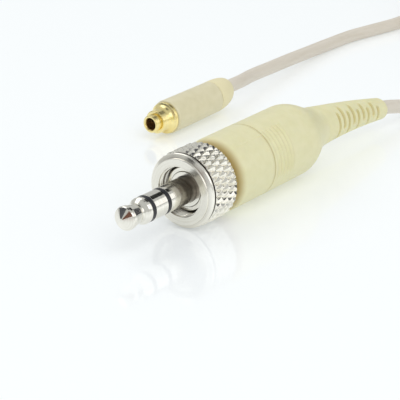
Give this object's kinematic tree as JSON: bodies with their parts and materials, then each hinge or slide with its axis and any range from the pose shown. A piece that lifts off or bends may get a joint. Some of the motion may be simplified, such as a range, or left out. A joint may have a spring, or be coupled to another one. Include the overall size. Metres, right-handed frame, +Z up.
{
  "type": "headset microphone lead",
  "caption": "Thin microphone lead with a locking 3.5 mm plug, a turning knurled ring, a ribbed strain relief and a small gold connector on its coiled far end.",
  "frame": {"origin": "on the surface the lead lies on, under the middle of the plug and its housing, without the boot, the cable and what is on it", "axes": "+X along the plug's axis from its tip towards the cable, +Z up, +Y towards the side where the small connector lies"},
  "size_m": [0.1351, 0.0348, 0.0102],
  "materials": {
    "bright_nickel": "bright nickel plate on turned brass",
    "gold_plate": "polished gold plate on turned brass",
    "black_insulator": "moulded, satin",
    "cream_housing": "moulded, semi-gloss, cream",
    "cream_boot": "moulded soft cream plastic",
    "cable_jacket": "extruded beige jacket, satin",
    "copper_screen": "twisted bare copper strands",
    "red_core": "thin wire insulation",
    "white_core": "thin wire insulation",
    "ptfe": "turned, waxy",
    "tie_strap": "woven strap"
  },
  "bodies": {
    "jack": {"tip_contact": "bright_nickel", "ring_contact": "bright_nickel", "sleeve_contact": "bright_nickel", "plug_carrier": "bright_nickel", "tip_insulator": "black_insulator", "ring_insulator": "black_insulator", "tip_lug": "bright_nickel", "ring_lug": "bright_nickel", "ground_lug": "bright_nickel", "crimp_ferrule": "bright_nickel", "tip_core": "red_core", "ring_core": "white_core", "screen_pigtail": "copper_screen", "front_shell": "cream_housing", "rear_shell": "cream_housing", "cable_boot": "cream_boot", "cable_plug_run": "cable_jacket", "cable_connector_run": "cable_jacket", "cable_coil": "cable_jacket", "coil_tie_near": "tie_strap", "coil_tie_far": "tie_strap", "connector_socket": "gold_plate", "connector_pin": "gold_plate", "connector_insulator": "ptfe", "connector_barrel": "cream_housing", "connector_cap": "cream_boot", "connector_ferrule": "bright_nickel", "connector_core": "white_core"},
    "thrust_washer": {"thrust_washer": "bright_nickel"},
    "lock_ring": {"lock_ring": "bright_nickel"}
  },
  "joints": [
    {"name": "ring_play", "type": "slide", "parent": "jack", "child": "thrust_washer", "axis": [1, 0, 0], "range_m": [0, 0.0006]},
    {"name": "ring_turn", "type": "hinge", "parent": "thrust_washer", "child": "lock_ring", "pos_m": [0, 0, 0.0051], "axis": [1, 0, 0], "continuous": true}
  ]
}
